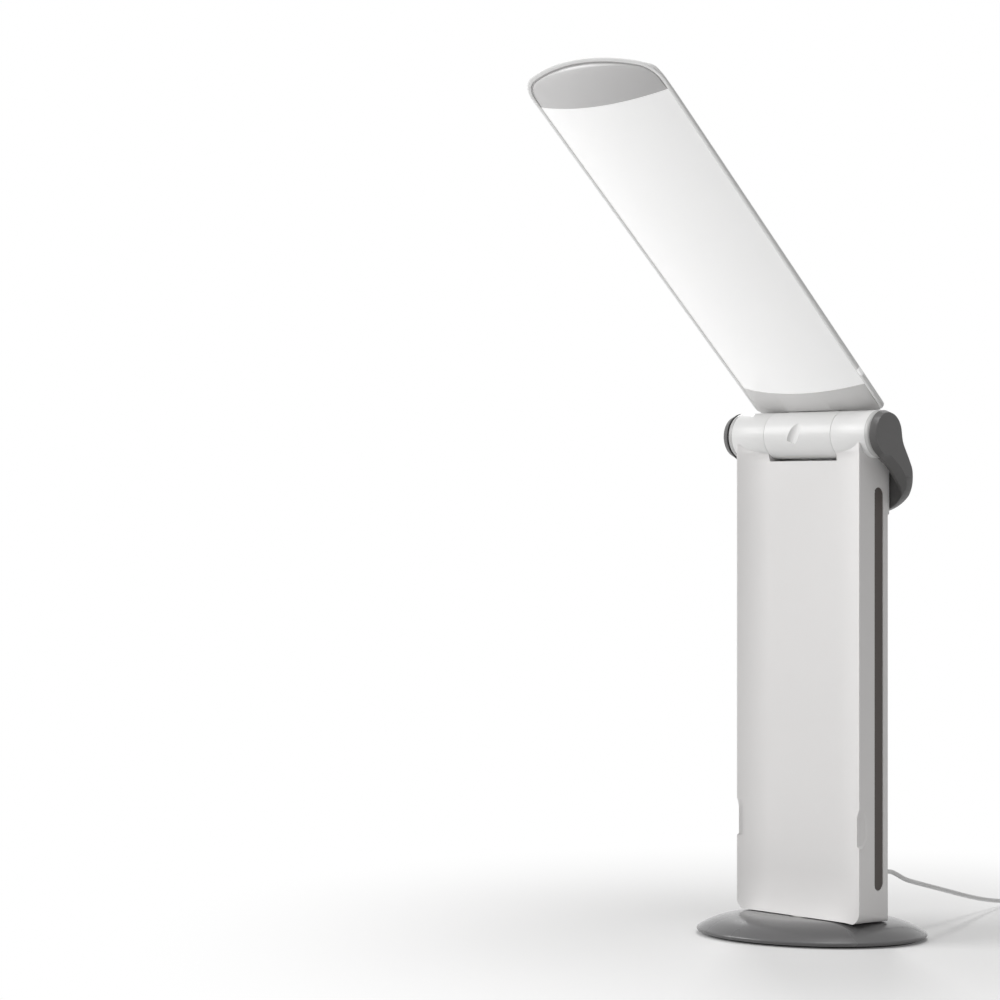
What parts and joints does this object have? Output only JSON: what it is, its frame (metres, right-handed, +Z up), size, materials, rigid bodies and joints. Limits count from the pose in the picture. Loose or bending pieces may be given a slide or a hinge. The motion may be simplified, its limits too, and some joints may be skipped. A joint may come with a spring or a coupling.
{
  "type": "folding daylight desk lamp",
  "caption": "Folding desk lamp: flat column on a turning oval base, long lit head on a barrel hinge that folds against the column, and a carrying handle behind it.",
  "frame": {"origin": "on the surface the lamp stands on, on the upright axis that the column turns about in the base", "axes": "+Z up, +X across the column along the hinge barrel, -Y the side that the head leans over"},
  "size_m": [0.1536, 0.6212, 0.5931],
  "materials": {
    "base_top": "satin",
    "ballast": "plain zinc plated",
    "base_bottom": "fine grain",
    "mat": "matt",
    "steel": "zinc plated",
    "spigot": "turned",
    "slip": "smooth",
    "housing": "fine satin",
    "cover": "fine satin",
    "strip": "soft touch",
    "barrel": "satin",
    "ring": "satin",
    "board": "white solder mask",
    "driver": "solder mask",
    "black_part": "moulded",
    "knuckle": "satin",
    "shell": "satin",
    "root": "satin",
    "opal": "opal, lit",
    "tip": "satin",
    "tray": "white reflector",
    "led": "phosphor",
    "grip": "fine grain",
    "button": "smooth",
    "lead": "smooth sheath",
    "supply": "fine grain",
    "pin": "nickel plated"
  },
  "bodies": {
    "column": {"swivel_spigot": "spigot", "thrust_washer": "slip", "retaining_washer": "steel", "swivel_screw": "steel", "column_housing": "housing", "rear_cover": "cover", "cover_screws": "steel", "side_inlay_right": "strip", "side_inlay_left": "strip", "barrel_sleeve_right": "barrel", "barrel_sleeve_left": "barrel", "sleeve_screws": "steel", "hinge_axle": "steel", "friction_washers": "slip", "end_rings": "ring", "driver_board": "driver", "driver_parts": "black_part", "driver_screws": "steel", "cord_gland": "black_part", "hinge_switch": "black_part", "cord_tube": "lead", "cord_coil": "lead", "adapter_body": "supply", "adapter_pins": "pin"},
    "base": {"base_shell": "base_top", "base_weight": "ballast", "base_floor": "base_bottom", "foot_mat": "mat", "floor_screws": "steel"},
    "head": {"head_knuckle": "knuckle", "head_shell": "shell", "root_cover": "root", "diffuser": "opal", "tip_cap": "tip", "light_tray": "tray", "led_board_right": "board", "led_board_left": "board", "leds": "led", "tray_screws": "steel", "neck_screws": "steel"},
    "handle": {"handle": "grip"},
    "plunger": {"switch_plunger": "button"}
  },
  "joints": [
    {"name": "base_swivel", "type": "hinge", "parent": "column", "child": "base", "pos_m": [0, 0, 0.015], "axis": [0, 0, 1], "range_deg": [-119, 61]},
    {"name": "head_tilt", "type": "hinge", "parent": "column", "child": "head", "pos_m": [0, 0, 0.355], "axis": [1, 0, 0], "range_deg": [-30, 130.5]},
    {"name": "handle_swing", "type": "hinge", "parent": "column", "child": "handle", "pos_m": [0, 0, 0.355], "axis": [1, 0, 0], "range_deg": [0, 60]},
    {"name": "switch_press", "type": "slide", "parent": "column", "child": "plunger", "axis": [0, 0, -1], "range_m": [0, 0.0008], "stiffness_N_per_m": 300, "springref_m": -0.001}
  ]
}
